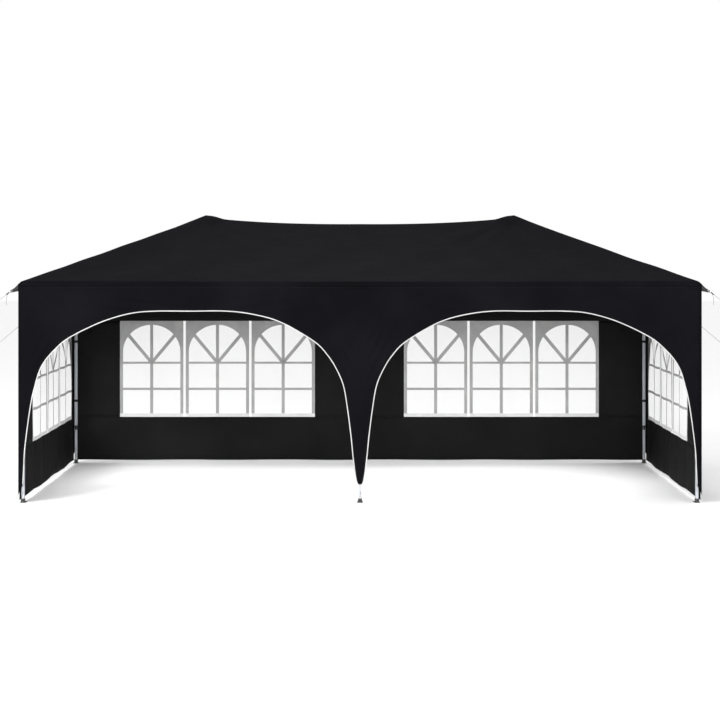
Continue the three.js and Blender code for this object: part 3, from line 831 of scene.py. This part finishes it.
def patch(side, a0, a1, z0, z1, cell=.03):
    """A rectangle of a wall as a grid with cells of about one size."""
    a = np.linspace(a0, a1, max(2, round((a1 - a0) / cell) + 1))[None, :]
    z = np.linspace(z0, z1, max(2, round((z1 - z0) / (1.6 * cell)) + 1))[:, None]
    return wall_point(side, a, z)


def raised(grid, side, by):
    """The same surface moved off the wall's inner face by a small distance."""
    return grid - np.array(FACES[side], float) * by


def arch_line(middle, half, spring, top, steps=33):
    """The outline of a light's opening from its lower left, over the arch, to its lower right: two
    upright sides and a half ellipse."""
    turn = np.linspace(np.pi, 0, steps)
    return middle + half * np.cos(turn), spring + (top - spring) * np.sin(turn)


# Of a light, from its lower edge: the sill, the lower bar, where the spokes cross, and where
# the arch springs. Then its frame's width at the sides and above the arch.
SILL, LOWER_BAR, CROSSING, SPRING = .036, .289, .559, .67
FRAME_SIDE, FRAME_TOP = .032, .040
UPRIGHT_WIDE, LOWER_WIDE, CROSSING_WIDE, SPOKE_WIDE = .032, .024, .022, .034
BAR_LAP = .006  # of a bar over the frame


def light(side, left, right, low, high):
    """One light of a window: its frame around an arched opening, and its bars.
    The frame is ruled from the opening's outline to the oblong around it."""
    middle = (left + right) / 2
    half = (right - left) / 2 - FRAME_SIDE
    sill, spring, top = low + SILL, low + SPRING, high - FRAME_TOP
    a, z = arch_line(middle, half, spring, top)
    upright = np.linspace(sill, spring, 18)[:-1]
    inner_a = np.concatenate((np.full(17, middle - half), a, np.full(17, middle + half)))
    inner_z = np.concatenate((upright, z, upright[::-1]))
    outer_a = np.clip(middle + (inner_a - middle) * 9, left, right)
    rising = (inner_z - spring) / (top - spring)
    across = (inner_a - middle) / half
    arch = rising > 0
    corner = np.maximum(np.where(arch, np.maximum(abs(across), rising), 1), 1e-6)
    spread = middle + (right - middle) * np.clip(across / corner, -1, 1)
    climb = spring + (high - spring) * np.clip(rising / corner, 0, 1)
    outer_a, outer_z = np.where(arch, spread, outer_a), np.where(arch, climb, inner_z)
    share = np.linspace(0, 1, 4)[:, None]
    ruled_a = outer_a + (inner_a - outer_a) * share
    ruled_z = outer_z + (inner_z - outer_z) * share
    frame_grid = wall_point(side, ruled_a, ruled_z)
    below = patch(side, left, right, low, sill)
    bars = []

    def bar(a0, z0, a1, z1, wide):
        step = np.array((a1 - a0, z1 - z0))
        normal = np.array((-step[1], step[0])) / np.hypot(*step) * wide / 2
        t = np.linspace(0, 1, 25)[:, None]
        s = np.array((-1, 0, 1))[None, :]
        a, z = a0 + step[0] * t + normal[0] * s, z0 + step[1] * t + normal[1] * s
        bars.append(wall_point(side, a, z))

    crossing = low + CROSSING
    bar(middle, sill, middle, top + BAR_LAP, UPRIGHT_WIDE)
    bar(middle - half, low + LOWER_BAR, middle + half, low + LOWER_BAR, LOWER_WIDE)
    bar(middle - half, crossing, middle + half, crossing, CROSSING_WIDE)
    # A spoke is as long as it takes to meet the arch's ellipse: the root of a quadratic.
    run, rise, below_spring = np.cos(SPOKE), np.sin(SPOKE), crossing - spring
    tall = top - spring
    q2 = (run / half) ** 2 + (rise / tall) ** 2
    q1 = 2 * rise * below_spring / tall**2
    q0 = (below_spring / tall) ** 2 - 1
    spoke = (-q1 + np.sqrt(q1**2 - 4 * q2 * q0)) / (2 * q2) + BAR_LAP
    for way in (-1, 1):
        bar(middle, crossing, middle + way * spoke * run, crossing + spoke * rise, SPOKE_WIDE)
    return frame_grid, below, bars


WINDOWS = {
    "back": ((-2.48, -.466), (.454, 2.466)),
    "left": ((-.905, 1.235),),
    "right": ((-.905, 1.235),),
}
SIDE_ENDS = {"back": WALL_END_BACK, "left": WALL_END_SIDE, "right": WALL_END_SIDE}
FILM_LAP = .012  # of the film past its window
SEAM_OUT = .008  # from a window to the stitches around it
# How far each layer lies off the wall's inner face.
FILM_LIFT, FRAME_LIFT, STRIP_LIFT, SILL_LIFT, BAR_LIFT, THREAD_LIFT = (
    -.0004, .0008, .0010, .0014, .0016, .0016
)

for side, windows in WINDOWS.items():
    end = SIDE_ENDS[side]
    out = np.array(FACES[side], float)
    stops = [-end, *[a for window in windows for a in window], end]
    cloth = [
        patch(side, -end, end, WALL_BOTTOM, WINDOW_LOW),
        patch(side, -end, end, WINDOW_HIGH, WALL_TOP),
    ]
    for a0, a1 in zip(stops[::2], stops[1::2]):
        cloth.append(patch(side, a0, a1, WINDOW_LOW, WINDOW_HIGH))
    frames, sills, strips, films, seams = [], [], [], [], []
    for a0, a1 in windows:
        lights = (a1 - a0 - 2 * STRIP) / 3
        for k in range(3):
            left = a0 + k * (lights + STRIP)
            framed, below, bars = light(side, left, left + lights, WINDOW_LOW, WINDOW_HIGH)
            right = left + lights
            frames += [raised(framed, side, FRAME_LIFT)]
            frames += [raised(bar, side, BAR_LIFT) for bar in bars]
            sills.append(raised(below, side, SILL_LIFT))
            ends = (left - FILM_LAP * (k == 0), right + FILM_LAP * (k == 2))
            film = patch(side, *ends, WINDOW_LOW - FILM_LAP, WINDOW_HIGH + FILM_LAP)
            films.append(raised(film, side, FILM_LIFT))
            if k < 2:
                strip = patch(side, right, right + STRIP, WINDOW_LOW, WINDOW_HIGH, STRIP / 2)
                strips.append(raised(strip, side, STRIP_LIFT))
        line_a = np.linspace(a0, a1, 90)
        line_z = np.linspace(WINDOW_LOW, WINDOW_HIGH, 50)
        seams += [(line_a, z) for z in (WINDOW_LOW - SEAM_OUT, WINDOW_HIGH + SEAM_OUT)]
        seams += [(a, line_z) for a in (a0 - SEAM_OUT, a1 + SEAM_OUT)]
    hem = np.linspace(-end + .01, end - .01, 160)
    seams += [(hem, z) for z in (WALL_BOTTOM + .025, WALL_TOP - .03)]
    threads = []
    for a, z in seams:
        threads += [*stitches(raised(wall_point(side, a, z), side, THREAD_LIFT), -out)]
    wall = surfaces(f"wall_cloth_{side}", cloth, WALL_CLOTH_PAINTED_LIGHT, facing=-out, thick=CLOTH, weld=2e-5)
    wall.modifiers["thickness"].offset = 0
    film = surfaces(f"window_film_{side}", films, FILM, facing=out)
    trim = surfaces(f"window_frames_{side}", frames, WINDOW_TAPE_PAINTED_SHADE, facing=-out)
    sill = surfaces(f"window_sills_{side}", sills, PALE_TAPE, facing=-out)
    strip = surfaces(f"window_strips_{side}", strips, CLEAR_STRIP, facing=-out)
    thread = surfaces(f"wall_thread_{side}", threads, BLACK_THREAD)
    binding_path = wall_point(side, np.linspace(-end, end, 200), WALL_BOTTOM + .001)
    hem_tape = swept(binding_path, .0022, .006)
    hem_tape = surfaces(f"wall_hem_{side}", [hem_tape], WALL_CLOTH_PAINTED_LIGHT)
    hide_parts(f"wall_{side}")
    others = [film, trim, sill, strip, thread, hem_tape]
    for piece in (wall, *others):
        gather(piece, side, wall=True)


# ---- straps and fittings ----------------------------------------------------------------
def square_loop(corner=.13, steps=5):
    """A square of points one metre wide round the origin, with rounded corners."""
    half = 0.5 - corner
    turn = np.linspace(0, np.pi / 2, steps)
    points = []
    for k, (sx, sy) in enumerate(((1, 1), (-1, 1), (-1, -1), (1, -1))):
        angle = turn + k * np.pi / 2
        around = (sx * half + corner * np.cos(angle), sy * half + corner * np.sin(angle))
        points.append(np.stack(around, -1))
    points = np.concatenate(points)
    return np.concatenate((points, points[:1]))


def band(centre, across, low, high, thick):
    """A closed band round an upright tube: an oblong profile with eased corners."""
    ring = square_loop()
    ease = thick * .35
    profile = [
        (0, low + ease), (0, high - ease), (ease, high), (thick - ease, high), (thick, high - ease),
        (thick, low + ease), (thick - ease, low), (ease, low), (0, low + ease),
    ]
    rows = []
    for out, z in profile:
        xy = np.array(centre) + ring * (across + 2 * out)
        rows.append(np.column_stack((xy, np.full(len(xy), z))))
    return np.stack(rows)


def bolt(place, axis, radius=.0062, height=.0045):
    """A domed rivet head on a washer."""
    profile = [
        (0, height), (radius * .45, height * .93), (radius * .8, height * .62),
        (radius, height * .25), (radius, .0008), (radius * 1.35, .0008), (radius * 1.35, 0), (0, 0),
    ]
    return turned(profile, place, axis, 12)


LEGS = {
    "front_left": (-BAY, -HALF), "front_mid": (0, -HALF), "front_right": (BAY, -HALF),
    "back_left": (-BAY, HALF), "back_mid": (0, HALF), "back_right": (BAY, HALF),
}
PAD_PROFILE = [(0, .012), (.006, .0118), (.0088, .010), (.0095, .006), (.0105, .0004), (0, 0)]
BUTTON_PROFILE = [
    (0, .006), (.004, .0055), (.0062, .003), (.0068, 0), (.009, 0), (.009, -.001), (0, -.001),
]
outer_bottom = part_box("outer_leg_front_left")[0].z

for name, (x, y) in LEGS.items():
    outer, inner = f"outer_leg_{name}", f"inner_leg_{name}"
    inward = -np.sign(y)
    trusses = ((-1, 0), (1, 0)) if x == 0 else ((-np.sign(x), 0), (0, inward))
    if name != "front_mid":
        straps = [
            band((x, y), TUBE + .001, z - STRAP_WIDE / 2, z + STRAP_WIDE / 2, .0022)
            for z in STRAP_HEIGHTS
        ]
        fitting(f"wall_strap_{name}", straps, BLACK_TAPE, outer)
    # The collar's thumb pad and its split ring.
    pad_z = outer_bottom + .022
    out = np.array((0, inward, 0), float)
    seat = np.array((x, y, pad_z)) + out * .0186
    pad = turned(PAD_PROFILE, seat, out, 18)
    turn = np.linspace(0, 2 * np.pi, 29)[:, None]
    hang = np.sin(turn) * np.array((1, 0, 0)) + np.cos(turn) * np.array((0, 0, 1))
    hang = seat + out * .0085 + np.array((0, 0, -.013)) + .014 * hang
    ring = swept(hang, .0011, outward=out, capped=False)
    fitting(f"collar_button_{name}", [pad], PLASTIC, outer)
    fitting(f"collar_ring_{name}", [ring], ZINC, outer)
    # The screws of the top bracket.
    screws = []
    for way in ((1, 0), (-1, 0), (0, 1), (0, -1)):
        if way in trusses:
            continue
        axis = np.array((*way, 0), float)
        for z in SCREW_HEIGHTS:
            screws.append(bolt(np.array((x, y, z)) + axis * BRACKET_OUT, axis, .0045, .0028))
    fitting(f"bracket_screws_{name}", screws, ZINC, outer)
    # The bolts of the foot's socket.
    foot = [bolt(np.array((x + s * .0175, y, .019)), (s, 0, 0), .005, .0035) for s in (-1, 1)]
    fitting(f"foot_bolts_{name}", foot, ZINC, inner)
    # The slider's snap button, on a face that no truss leaves.
    slider_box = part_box(f"slider_{name}")
    slider_z = (slider_box[0].z + slider_box[1].z) / 2
    way = inward if x == 0 else -inward
    button = turned(BUTTON_PROFILE, (x, y + way * BRACKET_OUT, slider_z), (0, way, 0), 18)
    fitting(f"snap_button_{name}", [button], ZINC, f"slider_{name}")

TRUSSES = {
    "front_left": ("front_mid", (-1, 0)), "front_right": ("front_mid", (1, 0)),
    "left": ("front_left", (0, 1)), "right": ("front_right", (0, 1)),
    "back_left": ("back_left", (1, 0)), "back_right": ("back_right", (-1, 0)),
}
# Each bar's two ends as (distance along the truss, height), and the face that its rivets are on.
BARS = {
    "a": ((PIVOT_OUT, PIVOT_HIGH), (HALF, PIVOT_LOW), 1),
    "b": ((PIVOT_OUT, PIVOT_LOW), (HALF, PIVOT_HIGH), -1),
    "c": ((HALF, PIVOT_HIGH), (BAY - PIVOT_OUT, PIVOT_LOW), 1),
    "d": ((HALF, PIVOT_LOW), (BAY - PIVOT_OUT, PIVOT_HIGH), -1),
}
BAR_FACE = .0121  # from the middle of a truss to a bar's outer face

for name, (leg, way) in TRUSSES.items():
    x, y = LEGS[leg]
    along = np.array((*way, 0), float)
    across = np.cross(along, (0, 0, 1))
    for letter, (start, stop, layer) in BARS.items():
        middle = ((start[0] + stop[0]) / 2, (start[1] + stop[1]) / 2)
        heads = []
        for run, z in (start, middle, stop):
            point = np.array((x, y, z)) + along * run + across * layer * BAR_FACE
            heads.append(bolt(point, across * layer))
        body = f"truss_{name}_{letter}"
        fitting(f"rivets_{name}_{letter}", heads, ZINC, body)

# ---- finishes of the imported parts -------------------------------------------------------
COLLAR_TOP = outer_bottom + .0455
SOCKET_TOP = .0345
LEG_OUTER = leg_finish("outer_leg_coat", COLLAR_TOP, HEAD_BOTTOM, 0.0)
LEG_INNER = leg_finish("inner_leg_coat", SOCKET_TOP, 5.0, 1.0)  # no plastic at its upper end
DRESS = {
    "outer_leg": LEG_OUTER, "inner_leg": LEG_INNER, "slider": PLASTIC, "truss_hub": PLASTIC,
    "truss": TRUSS_STEEL, "peak_pole": TRUSS_STEEL, "peak_bar": TRUSS_STEEL,
}
for node, packed in frame["nodes"].items():
    kind = next((k for k in DRESS if node.startswith(k)), None)
    if kind and not packed.hide_render:
        packed.data.materials.clear()
        packed.data.materials.append(DRESS[kind])

# ---- floor and light --------------------------------------------------------------------
floor_finish = Finish("pale_floor", Roughness=0.9, Specular_IOR_Level=0.1)
speckle = floor_finish.noise(floor_finish.place(), 3.0, 4.0)
floor_finish.feed("Base Color", floor_finish.mix(speckle, grey(.90), grey(.94)))
floor_finish.feed("Roughness", 0.85 + speckle * 0.1)
reach = np.linspace(-60, 60, 3)
fx, fy = np.meshgrid(reach, reach)
flat = np.stack((fx, fy, np.zeros_like(fx)), -1)
floor = surfaces("floor", [flat], floor_finish.material, facing=(0, 0, 1))


def soft_light(name, place, aim, size, power, spread=180):
    data = bpy.data.lights.new(name, "AREA")
    data.shape = "RECTANGLE"
    data.size, data.size_y = size
    data.energy = power
    data.spread = np.radians(spread)
    made = bpy.data.objects.new(name, data)
    made.location = place
    made.visible_camera = False
    away = np.array(place, float) - np.array(aim, float)
    made.rotation_euler = (
        np.arctan2(np.hypot(away[0], away[1]), away[2]), 0, np.arctan2(away[0], -away[1])
    )
    bpy.context.scene.collection.objects.link(made)


soft_light("front", (0, -19, 3.2), (0, 0, 0.6), (16, 4.5), 2000)
soft_light("key", (-9, -9, 7), (0, 0, 1), (4, 3), 1100)
soft_light("fill", (9, -10, 5), (0, 0, 1), (6, 5), 130)
soft_light("top", (0, 2, 9), (0, 0, 1), (9, 6), 40)
soft_light("inside", (0, 0, 1.8), (0, 0, 0), (5.2, 2.4), 45, spread=95)

world = bpy.data.worlds.new("studio")
world.use_nodes = True
world.node_tree.nodes["Background"].inputs["Color"].default_value = (1, 1, 1, 1)
world.node_tree.nodes["Background"].inputs["Strength"].default_value = 1.0
bpy.context.scene.world = world
bpy.context.scene.view_settings.view_transform = "Standard"
